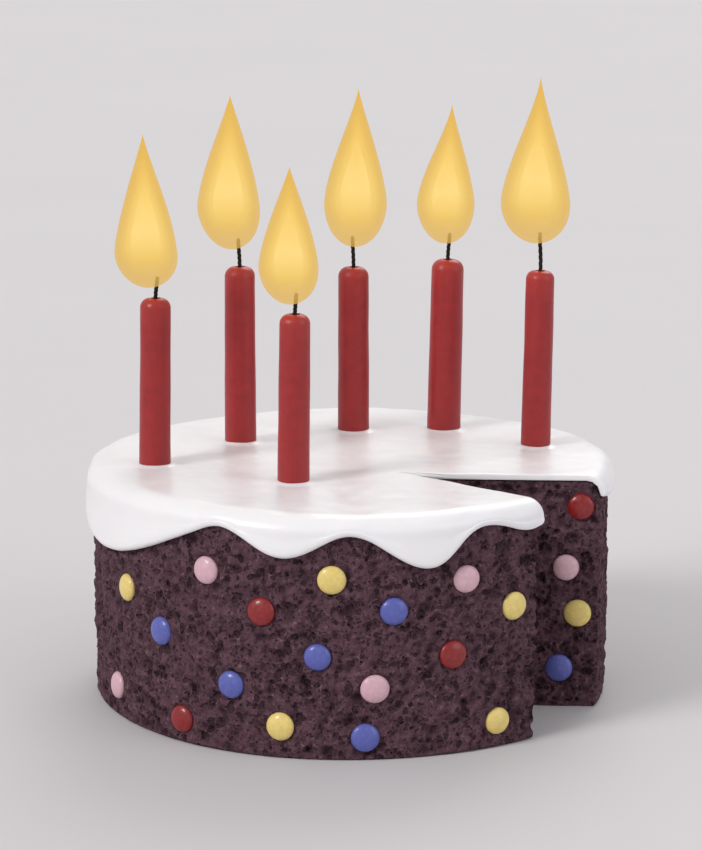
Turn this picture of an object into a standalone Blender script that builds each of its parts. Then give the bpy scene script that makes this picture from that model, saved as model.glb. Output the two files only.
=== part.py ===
"""A round chocolate birthday cake, 20 cm across, with poured white icing and one slice cut out.

Round sweets are set in the sponge, and six lit candles stand in the icing. The cake's axis is Z,
it stands on z = 0, and the side that faces -Y is its front. Sizes are in metres, angles in degrees.
"""

import math
import random

import bmesh
import bpy
from mathutils import Matrix, Vector, noise

# The cake
SPONGE_RADIUS = 0.100
SPONGE_HEIGHT = 0.0890
CAKE_TOP = 0.092
# The missing slice: its tip, short of the cake's axis, and the azimuths where its two cuts reach the side
CUT_TIP = Vector((0.018, -0.028, 0.0))
CUT_NEAR = -47.0
CUT_FAR = -18.5
GAP = 0.0004
BASE_ROUNDING = 0.0012
TOP_ROUNDING = 0.0050
SPONGE_RINGS = 5
SPONGE_ARC_STEPS = 84
SPONGE_CUT_STEPS = 7
CUT_ROUGHNESS = 0.0007

# The icing: how far its edge hangs below the cake's top, between its drips and at each one
ICING_CREST_DROP = 0.0063
ICING_LONG_DROP = 0.024
ICING_SHOULDER = 0.0055
ICING_SHOULDER_DEPTH = 0.0062
ICING_END = 0.0022
ICING_SIDE = 0.0022
ICING_SIDE_SWELL = 0.0010
ICING_LIP = 0.0010
ICING_CORNER_LIP = 0.0016
ICING_ARC_STEPS = 108
# Each drip: azimuth of its tip, its half widths to the left and right, extra length, fullness of the tip
DRIPS = (
    (-155.0, 30.0, 36.0, 0.0195, 0.55),
    (-103.5, 14.5, 14.0, 0.0096, 1.0),
    (-73.0, 17.0, 10.8, 0.0138, 0.9),
    (-49.0, 11.0, 8.0, 0.0046, 1.0),
    (-10.0, 16.0, 13.0, 0.0045, 0.9),
    (24.0, 14.0, 13.0, 0.0110, 0.9),
    (51.0, 13.0, 14.0, 0.0062, 1.0),
    (80.0, 15.0, 12.0, 0.0150, 0.8),
    (106.0, 12.0, 14.0, 0.0080, 1.0),
    (132.0, 14.0, 12.0, 0.0125, 0.9),
    (157.0, 13.0, 14.0, 0.0085, 1.0),
)

# The sweets: their size, the azimuths between which they are repeated on the back,
# and those on the front, as azimuth and height on the side
SWEET_RADIUS = 0.0053
SWEET_THICKNESS = 0.0046
SWEET_SINK = 0.0006
SWEET_SPACING = 0.0125
LOWEST_SWEET = 0.0085
CLEAR_OF_ICING = 0.0022
BACK_SWEETS_START = 4.0
BACK_SWEETS_END = 176.0
COLOURS = ("yellow", "pink", "red", "blue")
FRONT_SWEETS = {
    "yellow": ((-148, 0.053), (-94, 0.068), (-53, 0.053), (-105, 0.012), (-57, 0.010)),
    "pink": ((-122, 0.068), (-65, 0.066), (-154, 0.012), (-85, 0.027)),
    "red": ((-109, 0.055), (-68, 0.038), (-129, 0.009)),
    "blue": ((-135, 0.041), (-97, 0.039), (-81, 0.056), (-116, 0.026), (-87, 0.008)),
}
# Those on a cut face, as share of the cut's length from the slice's tip and height
CUT_SWEETS = {
    "yellow": ((0.90, 0.037), (0.39, 0.053), (0.57, 0.012)),
    "pink": ((0.84, 0.055), (0.26, 0.070), (0.26, 0.017)),
    "red": ((0.91, 0.079), (0.49, 0.074), (0.25, 0.042)),
    "blue": ((0.81, 0.015), (0.57, 0.061), (0.47, 0.032)),
}

# The candles
CANDLE_DEPTH = 0.017
CANDLE_SIDES = 14
CANDLE_RIM = 0.0022
CANDLE_HOLLOW = 0.0008
WICK_RADIUS = 0.0008
WICK_SOCKET = 0.003
WICK_IN_FLAME = 0.0042
# Each candle: x, y, diameter, height above the icing, lean towards +X in degrees
CANDLES = (
    (-0.0758, -0.0150, 0.0116, 0.0652, 0.95),
    (-0.0441, 0.0270, 0.0120, 0.0708, 0.10),
    (-0.0217, -0.0450, 0.0116, 0.0642, 0.70),
    (0.0010, 0.0500, 0.0122, 0.0671, 0.00),
    (0.0378, 0.0525, 0.0130, 0.0698, 1.00),
    (0.0732, 0.0180, 0.0112, 0.0706, 0.90),
)

# The flames
FLAME_SIDES = 12
FLAME_RINGS = 11
FLAME_ROUNDNESS = 1.45
# Each candle's flame: height of its foot above the candle, length, width, x of its belly and of its tip,
# height of its belly as a share of its length, and how quickly it narrows above that
FLAMES = (
    (0.0041, 0.0588, 0.0240, -0.0039, -0.0051, 0.22, 1.20),
    (0.0070, 0.0607, 0.0246, -0.0043, -0.0034, 0.27, 1.15),
    (0.0037, 0.0515, 0.0224, -0.0026, -0.0025, 0.27, 1.15),
    (0.0082, 0.0636, 0.0252, 0.0008, 0.0020, 0.28, 1.25),
    (0.0065, 0.0562, 0.0232, -0.0014, 0.0003, 0.29, 1.35),
    (0.0109, 0.0655, 0.0272, -0.0028, -0.0019, 0.24, 1.42),
)

MATERIALS = {
    "sponge": ((0.061, 0.032, 0.041), 0.9),
    "icing": ((0.81, 0.77, 0.80), 0.35),
    "wax": ((0.29, 0.033, 0.034), 0.4),
    "wick": ((0.020, 0.017, 0.015), 0.9),
    "flame": ((0.80, 0.55, 0.17), 0.5),
}


def clear_scene():
    for obj in list(bpy.data.objects):
        bpy.data.objects.remove(obj)


def make_collection(name):
    collection = bpy.data.collections.new(name)
    bpy.context.scene.collection.children.link(collection)
    return collection


def make_material(name):
    colour, roughness = MATERIALS[name]
    material = bpy.data.materials.new(name)
    material.use_nodes = True
    shader = material.node_tree.nodes["Principled BSDF"]
    shader.inputs["Base Color"].default_value = (*colour, 1.0)
    shader.inputs["Roughness"].default_value = roughness
    shader.inputs["Metallic"].default_value = 0.0
    return material


def add_object(name, mesh, collection, material=None):
    obj = bpy.data.objects.new(name, mesh)
    collection.objects.link(obj)
    if material:
        mesh.materials.append(material)
    return obj


def baked(obj):
    """Replaces an object's mesh by the one that its modifiers make."""
    bpy.context.view_layer.update()
    graph = bpy.context.evaluated_depsgraph_get()
    mesh = bpy.data.meshes.new_from_object(obj.evaluated_get(graph))
    obj.modifiers.clear()
    obj.data = mesh
    return mesh


def smoothstep(low, high, value):
    share = min(1.0, max(0.0, (value - low) / (high - low)))
    return share * share * (3 - 2 * share)


def lofted(name, rings):
    """A closed mesh through rings with equally many points, with a face over the first and the last."""
    shape = bmesh.new()
    rows = [[shape.verts.new(point) for point in ring] for ring in rings]
    count = len(rows[0])
    for lower, upper in zip(rows, rows[1:]):
        for i in range(count):
            j = (i + 1) % count
            shape.faces.new((lower[i], lower[j], upper[j], upper[i]))
    shape.faces.new(list(reversed(rows[0])))
    shape.faces.new(rows[-1])
    bmesh.ops.remove_doubles(shape, verts=shape.verts, dist=0.00001)
    bmesh.ops.recalc_face_normals(shape, faces=shape.faces)
    mesh = bpy.data.meshes.new(name)
    shape.to_mesh(mesh)
    shape.free()
    return mesh


def polar(radius, azimuth, z):
    angle = math.radians(azimuth)
    return Vector((radius * math.cos(angle), radius * math.sin(angle), z))


def arc_azimuths(steps):
    """Azimuths from the far cut face round the back to the near one."""
    sweep = 360 + CUT_NEAR - CUT_FAR
    return [CUT_FAR + sweep * i / steps for i in range(steps + 1)]


def side_radius(azimuth, z):
    """The sponge's slightly uneven side."""
    angle = math.radians(azimuth)
    waves = 0.0004 * math.sin(3 * angle + 0.6) + 0.0003 * math.sin(5 * angle - 1.1)
    belly = 0.0006 * math.sin(math.pi * z / SPONGE_HEIGHT)
    return SPONGE_RADIUS + waves + belly


def cut_ray(azimuth):
    """The direction from the slice's tip to the cake's side at this azimuth."""
    return (polar(SPONGE_RADIUS, azimuth, 0) - CUT_TIP).normalized()


def from_tip(azimuth, distance, z):
    """The point at this distance from the slice's tip, on the way to the cake's side at this azimuth."""
    return CUT_TIP + cut_ray(azimuth) * distance + Vector((0, 0, z))


def tip_distance(azimuth, radius):
    """How far from the slice's tip that way is this far from the cake's axis."""
    along = CUT_TIP.dot(cut_ray(azimuth))
    return math.sqrt(along**2 - CUT_TIP.length_squared + radius**2) - along


def into_gap(azimuth):
    """The direction that the cut face ending at this azimuth looks in, square to it."""
    side = -1 if azimuth == CUT_FAR else 1
    ray = cut_ray(azimuth)
    return Vector((-ray.y, ray.x, 0)) * side


def cut_roughness(point):
    """How far the crumb stands out of a cut face at this point."""
    return CUT_ROUGHNESS * noise.noise(point * 90)


def edge_inset(z):
    """How far the rounded edges at the sponge's base and top draw its side in at this height."""
    base = 1 - min(z / BASE_ROUNDING, 1)
    top = 1 - min((SPONGE_HEIGHT - z) / TOP_ROUNDING, 1)
    return BASE_ROUNDING * (1 - math.sqrt(1 - base**2)) + TOP_ROUNDING * (1 - math.sqrt(1 - top**2))


def rim_heights():
    """The heights that the sponge's rounded top edge is drawn through."""
    return [SPONGE_HEIGHT - TOP_ROUNDING * (1 - math.sin(math.radians(turn))) for turn in (0, 35, 65, 90)]


def side_distance(azimuth, z):
    """How far the sponge's side is from the slice's tip."""
    return tip_distance(azimuth, side_radius(azimuth, z) - edge_inset(z))


def cut_points(azimuth, z):
    """The uneven line of a cut face at one height, from near the slice's tip out to near the side."""
    points = []
    for step in range(1, SPONGE_CUT_STEPS):
        point = from_tip(azimuth, side_distance(azimuth, z) * step / SPONGE_CUT_STEPS, z)
        points.append(point + into_gap(azimuth) * cut_roughness(point))
    return points


def sponge_ring(z):
    """The sponge's outline at one height: out along the far cut, round the side, back along the near cut."""
    side = [from_tip(a, side_distance(a, z), z) for a in arc_azimuths(SPONGE_ARC_STEPS)]
    return [CUT_TIP + Vector((0, 0, z))] + cut_points(CUT_FAR, z) + side + cut_points(CUT_NEAR, z)[::-1]


def make_sponge(collection, material):
    foot = [0, BASE_ROUNDING * 0.35]
    straight = SPONGE_HEIGHT - TOP_ROUNDING - BASE_ROUNDING
    rises = [BASE_ROUNDING + straight * i / SPONGE_RINGS for i in range(SPONGE_RINGS)]
    mesh = lofted("sponge", [sponge_ring(z) for z in foot + rises + rim_heights()])
    return add_object("sponge", mesh, collection, material)


def icing_drop(azimuth):
    """How far the icing's edge hangs below the cake's top at this azimuth."""
    extra = 0.0
    for tip, left, right, length, fullness in DRIPS:
        offset = (azimuth - tip + 180) % 360 - 180
        share = abs(offset) / (right if offset > 0 else left)
        if share < 1:
            extra = max(extra, length * math.cos(math.pi / 2 * share) ** (2 * fullness))
    return ICING_CREST_DROP + extra


def icing_height(point):
    """The gently uneven top of the icing."""
    angle = math.atan2(point.y, point.x)
    wave = 0.0004 * math.sin(2 * angle + 1.0) + 0.0003 * math.sin(5 * angle)
    return CAKE_TOP + wave * math.hypot(point.x, point.y) / SPONGE_RADIUS


def icing_section(azimuth):
    """The icing cut from the slice's tip outwards, as (distance, z): the top, the side, back underneath."""
    drop = icing_drop(azimuth)
    long_drip = smoothstep(ICING_CREST_DROP, ICING_LONG_DROP, drop)
    side = ICING_SIDE + ICING_SIDE_SWELL * long_drip
    end = min(ICING_END, drop * 0.3)
    flat = tip_distance(azimuth, SPONGE_RADIUS - ICING_SHOULDER)
    edge = icing_height(from_tip(azimuth, flat, 0))
    low = edge - drop
    outer = tip_distance(azimuth, side_radius(azimuth, low) + side)
    shoulder = min(ICING_SHOULDER_DEPTH, drop - end - 0.0003)
    points = [(flat * s, icing_height(from_tip(azimuth, flat * s, 0))) for s in (0, 0.3, 0.6, 0.82, 1)]
    for turn in (28, 52, 72, 90):
        angle = math.radians(turn)
        distance = flat + (outer - flat) * math.sin(angle)
        points.append((distance, edge - shoulder * (1 - math.cos(angle))))
    points.append((outer + 0.0003 * long_drip, low + end))
    points.append((outer - 0.3 * side, low + 0.25 * end))
    points.append((outer - 0.62 * side, low))
    back = low + 0.4 * end
    for z in (back, *[max(back, rim) for rim in rim_heights()]):
        points.append((side_distance(azimuth, z) + GAP, z + GAP))
    points += [(flat * 0.5, SPONGE_HEIGHT + GAP), (0, SPONGE_HEIGHT + GAP)]
    return points


def inset_section(section, inset):
    """The same section drawn in all round, but not at the slice's tip."""
    moved = []
    count = len(section)
    for i, (distance, z) in enumerate(section):
        before, after = section[i - 1], section[(i + 1) % count]
        along = Vector((after[0] - before[0], after[1] - before[1])).normalized()
        share = inset * smoothstep(0.003, 0.015, distance)
        moved.append((distance + along.y * share, z - along.x * share))
    return moved


def icing_lip(section, azimuth, reach, inset):
    """A ring that stands out of the cut face: the soft icing bulges a little over its cut edge."""
    corner = ICING_CORNER_LIP if azimuth == CUT_NEAR else 0.0
    length = tip_distance(azimuth, SPONGE_RADIUS)
    ring = []
    for distance, z in inset_section(section, inset):
        lip = ICING_LIP * smoothstep(0.004, 0.02, distance)
        lip += corner * smoothstep(length - 0.020, length, distance)
        ring.append(from_tip(azimuth, distance, z) + into_gap(azimuth) * lip * reach)
    return ring


def make_icing(collection, material):
    azimuths = arc_azimuths(ICING_ARC_STEPS)
    first, last = icing_section(azimuths[0]), icing_section(azimuths[-1])
    lips = ((0.7, 0.0002), (1.0, 0.0006))
    rings = [icing_lip(first, CUT_FAR, *lip) for lip in reversed(lips)]
    rings += [[from_tip(a, distance, z) for distance, z in icing_section(a)] for a in azimuths]
    rings += [icing_lip(last, CUT_NEAR, *lip) for lip in lips]
    return add_object("icing", lofted("icing", rings), collection, material)


def far_enough(spot, others):
    return all((spot - other).length > SWEET_SPACING for other in others)


def side_sweets():
    """(colour, centre, outward direction) of the sweets on the side: the front's, repeated round the back."""
    placed = []
    draw = random.Random(7)
    front_middle = -103.5
    for lap in range(4):
        for index, colour in enumerate(COLOURS):
            for azimuth, z in FRONT_SWEETS[colour]:
                if lap:
                    mirrored = -1 if lap % 2 else 1
                    azimuth = front_middle + mirrored * (azimuth - front_middle) - 106 * lap
                    azimuth += draw.uniform(-3, 3)
                    z = z + draw.uniform(-0.003, 0.003)
                    colour = COLOURS[(index + lap) % len(COLOURS)]
                azimuth = (azimuth - CUT_FAR) % 360 + CUT_FAR
                behind = BACK_SWEETS_START < azimuth < BACK_SWEETS_END
                highest = CAKE_TOP - icing_drop(azimuth) - SWEET_RADIUS - CLEAR_OF_ICING
                z = min(max(z, LOWEST_SWEET), highest)
                spot = polar(side_radius(azimuth, z), azimuth, z)
                if lap == 0 or behind and far_enough(spot, [p[1] for p in placed]):
                    placed.append((colour, spot, polar(1, azimuth, 0)))
    return placed


def cut_face_sweets(azimuth, colour_shift, flipped):
    """The same for one cut face. The second face has the first one's places upside down."""
    placed = []
    length = tip_distance(azimuth, SPONGE_RADIUS)
    for index, colour in enumerate(COLOURS):
        for share, z in CUT_SWEETS[colour]:
            height = SPONGE_HEIGHT - z if flipped else z
            highest = SPONGE_HEIGHT - SWEET_RADIUS - CLEAR_OF_ICING
            spot = from_tip(azimuth, share * length, min(height, highest))
            placed.append((COLOURS[(index + colour_shift) % len(COLOURS)], spot, into_gap(azimuth)))
    return placed


def all_sweets():
    return side_sweets() + cut_face_sweets(CUT_FAR, 0, False) + cut_face_sweets(CUT_NEAR, 1, True)


def add_sweet(collection, index, centre, outward):
    """One lens-shaped sweet, half sunk in the sponge."""
    shape = bmesh.new()
    turn = outward.to_track_quat("Z", "Y").to_matrix().to_4x4()
    flatten = Matrix.Diagonal((1, 1, SWEET_THICKNESS / 2 / SWEET_RADIUS, 1))
    place = Matrix.Translation(centre - outward * SWEET_SINK)
    bmesh.ops.create_uvsphere(
        shape, u_segments=12, v_segments=4, radius=SWEET_RADIUS, matrix=place @ turn @ flatten)
    mesh = bpy.data.meshes.new("sweet")
    shape.to_mesh(mesh)
    shape.free()
    return add_object(f"sweet_{index}", mesh, collection)


def fuse_sweets(sponge):
    """Joins the sweets to the sponge in one Boolean, then removes the loose ones."""
    sweets = make_collection("sweets")
    for index, (_, centre, outward) in enumerate(all_sweets()):
        add_sweet(sweets, index, centre, outward)
    union = sponge.modifiers.new("fuse sweets", "BOOLEAN")
    union.operation = "UNION"
    union.operand_type = "COLLECTION"
    union.collection = sweets
    baked(sponge)
    for obj in list(sweets.objects):
        bpy.data.objects.remove(obj)
    bpy.data.collections.remove(sweets)


def candle_frame(candle):
    """Places a candle: its own origin is on its axis, level with the icing."""
    x, y, lean = candle[0], candle[1], candle[4]
    return Matrix.Translation((x, y, CAKE_TOP)) @ Matrix.Rotation(math.radians(lean), 4, "Y")


def cut_candle_holes(bodies, cutters):
    """Bores the hole of each candle through the icing and down into the sponge."""
    depth = CANDLE_DEPTH + GAP
    for candle in CANDLES:
        bpy.ops.mesh.primitive_cylinder_add(
            vertices=CANDLE_SIDES, radius=candle[2] / 2 + GAP * 1.5, depth=2 * depth)
        hole = bpy.context.object
        hole.name = "candle hole"
        hole.matrix_world = candle_frame(candle)
        hole.hide_render = True
        hole.display_type = "WIRE"
        hole.users_collection[0].objects.unlink(hole)
        cutters.objects.link(hole)
    for body in bodies:
        cut = body.modifiers.new("candle holes", "BOOLEAN")
        cut.operation = "DIFFERENCE"
        cut.operand_type = "COLLECTION"
        cut.collection = cutters
        baked(body)


def turned(name, profile, sides, collection, material):
    """A solid turned from a profile of (radius, z) that runs from the axis to the axis."""
    mesh = bpy.data.meshes.new(name)
    points = [(radius, 0, z) for radius, z in profile]
    mesh.from_pydata(points, [(i, i + 1) for i in range(len(points) - 1)], [])
    obj = add_object(name, mesh, collection, material)
    screw = obj.modifiers.new("turn", "SCREW")
    screw.steps = screw.render_steps = sides
    screw.use_merge_vertices = True
    screw.merge_threshold = 0.00005
    mesh = baked(obj)
    mesh.shade_smooth()
    mesh.set_sharp_from_angle(angle=math.radians(40))
    return obj


def make_candle(number, candle, collection, material):
    """A round candle with a domed top and a little melted hollow round the wick."""
    radius, height = candle[2] / 2, candle[3]
    bore = WICK_RADIUS + GAP
    hollow = height - CANDLE_HOLLOW
    dome = radius - CANDLE_RIM
    profile = [(0, hollow - WICK_SOCKET), (bore, hollow - WICK_SOCKET), (bore, hollow)]
    for turn in (90, 55, 25, 0):
        angle = math.radians(turn)
        profile.append((CANDLE_RIM + dome * math.cos(angle), height - dome * (1 - math.sin(angle))))
    profile += [(radius * 1.05, 0.0), (radius * 0.98, -CANDLE_DEPTH + 0.001), (0, -CANDLE_DEPTH)]
    obj = turned(f"candle_{number}", profile, CANDLE_SIDES, collection, material)
    obj.matrix_world = candle_frame(candle)


def make_wick(number, candle, flame, collection, material):
    """A straight cotton wick that stands in the candle and reaches into the flame."""
    height, flame_foot = candle[3], flame[0]
    bottom = height - CANDLE_HOLLOW - WICK_SOCKET + GAP
    top = height + flame_foot + WICK_IN_FLAME
    curve = bpy.data.curves.new(f"wick_{number}", "CURVE")
    curve.dimensions = "3D"
    curve.bevel_depth = WICK_RADIUS
    curve.bevel_resolution = 1
    curve.use_fill_caps = True
    spline = curve.splines.new("POLY")
    spline.points.add(1)
    spline.points[0].co = (0, 0, bottom, 1)
    spline.points[1].co = (0, 0, top, 1)
    obj = add_object(f"wick_{number}", curve, collection, material)
    obj.matrix_world = candle_frame(candle)


def flame_outline(share, belly_share, taper):
    """Half width of a flame, as a share of its greatest: round at its foot, drawn out to its tip."""
    if share < belly_share:
        return math.sqrt(1 - (1 - share / belly_share) ** 2)
    above = (share - belly_share) / (1 - belly_share)
    return (1 - above**FLAME_ROUNDNESS) ** taper


def flame_sway(share, belly, tip):
    """How far the flame's middle line lies from the wick's at this share of its height."""
    return belly * (0.7 + 0.3 * smoothstep(0.0, 0.3, share)) + (tip - belly) * smoothstep(0.3, 1.0, share)


def make_flame(number, candle, flame, collection, material, cutters):
    """A drop-shaped flame round the top of the wick, open below where the wick enters it."""
    height = candle[3]
    foot, length, width, belly, tip, belly_share, taper = flame
    bottom = height + foot
    profile = []
    for ring in range(FLAME_RINGS + 1):
        share = 0.5 + 0.5 * math.cos(math.pi * (ring / FLAME_RINGS) ** 1.2)
        profile.append((flame_outline(share, belly_share, taper) * width / 2, bottom + length * share))
    profile[0], profile[-1] = (0, bottom + length), (0, bottom)
    obj = turned(f"flame_{number}", profile, FLAME_SIDES, collection, material)
    for vertex in obj.data.vertices:
        vertex.co.x += flame_sway((vertex.co.z - bottom) / length, belly, tip)
    reach = foot + WICK_IN_FLAME + GAP
    bpy.ops.mesh.primitive_cylinder_add(
        vertices=8, radius=WICK_RADIUS + GAP, depth=reach, location=(0, 0, height + reach / 2))
    bore = bpy.context.object
    bore.name = f"wick bore {number}"
    bore.hide_render = True
    bore.display_type = "WIRE"
    bore.users_collection[0].objects.unlink(bore)
    cutters.objects.link(bore)
    cut = obj.modifiers.new("wick bore", "BOOLEAN")
    cut.operation = "DIFFERENCE"
    cut.object = bore
    baked(obj)
    obj.matrix_world = candle_frame(candle)


def main():
    clear_scene()
    cake = make_collection("birthday cake with candles")
    holes = make_collection("candle holes")
    bores = make_collection("wick bores")
    finish = {name: make_material(name) for name in MATERIALS}
    sponge = make_sponge(cake, finish["sponge"])
    icing = make_icing(cake, finish["icing"])
    cut_candle_holes((sponge, icing), holes)
    fuse_sweets(sponge)
    for number, (candle, flame) in enumerate(zip(CANDLES, FLAMES), start=1):
        make_candle(number, candle, cake, finish["wax"])
        make_wick(number, candle, flame, cake, finish["wick"])
        make_flame(number, candle, flame, cake, finish["flame"], bores)


main()
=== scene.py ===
"""The looks of a round chocolate birthday cake with poured white icing, sweets and six lit candles.

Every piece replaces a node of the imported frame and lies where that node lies. Sizes are in metres,
angles in degrees. The cake's axis is Z, and its front faces -Y.
"""

import math
import random

import bmesh
import bpy
from mathutils import Matrix, Vector, kdtree, noise


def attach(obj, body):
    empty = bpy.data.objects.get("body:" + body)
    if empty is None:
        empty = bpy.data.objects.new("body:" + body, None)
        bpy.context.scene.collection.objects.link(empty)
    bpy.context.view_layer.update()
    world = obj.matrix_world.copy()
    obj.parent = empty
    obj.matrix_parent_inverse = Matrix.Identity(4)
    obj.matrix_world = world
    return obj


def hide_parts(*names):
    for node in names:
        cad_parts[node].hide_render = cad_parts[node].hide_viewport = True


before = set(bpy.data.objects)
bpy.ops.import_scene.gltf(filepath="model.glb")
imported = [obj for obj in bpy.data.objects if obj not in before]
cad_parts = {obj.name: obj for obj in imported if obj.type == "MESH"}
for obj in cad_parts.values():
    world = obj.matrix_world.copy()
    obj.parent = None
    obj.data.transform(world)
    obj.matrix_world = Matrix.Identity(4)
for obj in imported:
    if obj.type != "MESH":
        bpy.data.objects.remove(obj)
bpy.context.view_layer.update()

# The cake, as in the frame
SPONGE_RADIUS = 0.100
SPONGE_HEIGHT = 0.0890
CAKE_TOP = 0.092
# The missing slice: its tip, short of the cake's axis, and the azimuths where its two cuts reach the side
CUT_TIP = Vector((0.018, -0.028, 0.0))
CUT_NEAR = -47.0
CUT_FAR = -18.5
GAP = 0.0004
BASE_ROUNDING = 0.0012
TOP_ROUNDING = 0.0050
# How far the sponge's side bellies out at half height, and its waves: height, how many go round, start
SIDE_BELLY = 0.0006
SIDE_WAVES = ((0.0004, 3, 0.6), (0.0003, 5, -1.1))
# How rough the cut faces are: the height of their lumps, and how many there are to a metre
CUT_ROUGHNESS = 0.0007
CUT_LUMPS = 90

# The crumb: how far apart the points of its surface lie, and how far noise bends its pores
CRUMB_STEP = 0.00090
CRUMB_BEND = 0.0014
# The noise that bends them draws its own offset, so it is seeded
NOISE_SEED = 5
# For each size of pore: its cell, the share of the cell that the largest takes, its depth and its shift
CRUMB_PORES = (
    (0.0085, 0.46, 0.0028, (0.0, 0.0, 0.0)),
    (0.0046, 0.56, 0.0020, (0.31, 0.17, 0.23)),
    (0.0029, 0.62, 0.0012, (0.11, 0.47, 0.37)),
)
# Its swells, lumps and grains: how many there are to a metre, and their height
CRUMB_WAVES = ((95, 0.0004), (250, 0.0008), (480, 0.0004))
# This relief fades out under the icing, between these depths below the sponge's top,
# and within this height over the base
RELIEF_FADES = 0.003
RELIEF_ENDS = 0.001
RELIEF_BASE = 0.0025

# The icing: how far its edge hangs below the cake's top, between its drips and at each one
ICING_CREST_DROP = 0.0063
ICING_LONG_DROP = 0.024
# Its rounded shoulder: how far in from the sponge's side it starts, and how far down it comes
ICING_SHOULDER = 0.0055
ICING_SHOULDER_DEPTH = 0.0062
# The height of the round end of its edge, and how far over the end the middle of its thickness stays
ICING_END = 0.0022
ICING_END_MIDDLE = 0.002
# How thick it is on the side, and how much thicker at a long drip
ICING_SIDE = 0.0022
ICING_SIDE_SWELL = 0.0010
# How far its lip stands out over the cut faces, how much further at the near one's outer corner,
# and over which distances from the slice's tip it grows
ICING_LIP = 0.0010
ICING_CORNER_LIP = 0.0016
LIP_GROWS = (0.004, 0.02)
# Over how many degrees each way the line of the icing's edge is softened
ICING_SOFTENING = 2.2
# The waves of its top at the cake's side, as for the sponge, and its ripples: number to a metre, and height
ICING_WAVES = ((0.0004, 2, 1.0), (0.0003, 5, 0.0))
ICING_RIPPLES = ((55, 0.00022), (150, 0.0001))
# How far its side swells towards its lower end, and how much further at a long drip
ICING_BULGE = 0.0003
ICING_DRIP_BULGE = 0.0007
# The share of its drop that its round end may take, and the least height between shoulder and end
ICING_END_SHARE = 0.3
ICING_SKIRT = 0.0003
# How much of the way to the middle of its thickness the lip is drawn in, how much more at the corner,
# how long the corner is, and over which distances from the slice's tip the drawing in grows
LIP_DRAWN_IN = 0.28
LIP_CORNER_DRAWN_IN = 0.42
LIP_CORNER_LENGTH = 0.020
DRAWING_IN_GROWS = (0.002, 0.015)
# How many sections it has round the cake, and how many points each has on the top, shoulder and side
ICING_STATIONS = 430
ICING_TOP_RINGS = 110
ICING_SHOULDER_RINGS = 11
ICING_SKIRT_RINGS = 8
# The collar round each candle
COLLAR_HEIGHT = 0.0008
COLLAR_REACH = 0.0017
# Each drip: azimuth of its tip, its half widths to the left and right, extra length, fullness of the tip
DRIPS = (
    (-155.0, 30.0, 36.0, 0.0195, 0.55),
    (-103.5, 14.5, 14.0, 0.0096, 1.0),
    (-73.0, 17.0, 10.8, 0.0138, 0.9),
    (-49.0, 11.0, 8.0, 0.0046, 1.0),
    (-10.0, 16.0, 13.0, 0.0045, 0.9),
    (24.0, 14.0, 13.0, 0.0110, 0.9),
    (51.0, 13.0, 14.0, 0.0062, 1.0),
    (80.0, 15.0, 12.0, 0.0150, 0.8),
    (106.0, 12.0, 14.0, 0.0080, 1.0),
    (132.0, 14.0, 12.0, 0.0125, 0.9),
    (157.0, 13.0, 14.0, 0.0085, 1.0),
)

# The sweets: their size, how deep they sit, how far apart they stay, the lowest one's height
# and how far the highest stay below the icing
SWEET_RADIUS = 0.0053
SWEET_THICKNESS = 0.0046
SWEET_SINK = 0.0006
SWEET_SPACING = 0.0125
LOWEST_SWEET = 0.0085
CLEAR_OF_ICING = 0.0022
# How far each sweet may tilt, and the least and greatest share of the usual width and thickness
SWEET_TILT = 0.06
SWEET_WIDTHS = (0.96, 1.03)
SWEET_DEPTHS = (0.95, 1.08)
# The front's pattern goes on round the back, with every other lap mirrored about the front's middle:
# how far one lap is from the next, and how far each sweet may be shifted round and up or down
FRONT_MIDDLE = -103.5
SWEET_LAP = 106
SWEET_TURN_SHIFT = 3
SWEET_HEIGHT_SHIFT = 0.003
# The azimuths between which the back has sweets
BACK_SWEETS_START = 4.0
BACK_SWEETS_END = 176.0
# The hollow round each sweet: its depth and width, and how far the sponge stays below the sweet
HOLLOW_DEPTH = 0.0006
HOLLOW_WIDTH = 0.0009
BELOW_SWEET = 0.0012
COLOURS = ("yellow", "pink", "red", "blue")
# The sweets on the front, as azimuth and height on the side
FRONT_SWEETS = {
    "yellow": ((-148, 0.053), (-94, 0.068), (-53, 0.053), (-105, 0.012), (-57, 0.010)),
    "pink": ((-122, 0.068), (-65, 0.066), (-154, 0.012), (-85, 0.027)),
    "red": ((-109, 0.055), (-68, 0.038), (-129, 0.009)),
    "blue": ((-135, 0.041), (-97, 0.039), (-81, 0.056), (-116, 0.026), (-87, 0.008)),
}
# Those on a cut face, as share of the cut's length from the slice's tip and height
CUT_SWEETS = {
    "yellow": ((0.90, 0.037), (0.39, 0.053), (0.57, 0.012)),
    "pink": ((0.84, 0.055), (0.26, 0.070), (0.26, 0.017)),
    "red": ((0.91, 0.079), (0.49, 0.074), (0.25, 0.042)),
    "blue": ((0.81, 0.015), (0.57, 0.061), (0.47, 0.032)),
}

# The candles: how deep they stand in the cake, the radius of the hollow in their top, and its depth
CANDLE_DEPTH = 0.017
CANDLE_RIM = 0.0022
CANDLE_HOLLOW = 0.0008
# A wick: its radius, how deep it stands in the candle and how far it reaches into the flame
WICK_RADIUS = 0.0008
WICK_SOCKET = 0.003
WICK_IN_FLAME = 0.0042
# Its three strands: their radius, their distance from its middle and how far they turn, in degrees
STRAND_RADIUS = 0.00048
STRAND_DISTANCE = 0.00034
STRAND_TURN = 900
# How much thicker a candle is at the icing than at its top, its width inside the cake as a share of that
# at its top, how uneven its surface is, and how many sides it is drawn with
CANDLE_TAPER = 0.05
CANDLE_FOOT_SHARE = 0.98
CANDLE_UNEVENNESS = 0.00016
CANDLE_SIDES = 48
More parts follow.
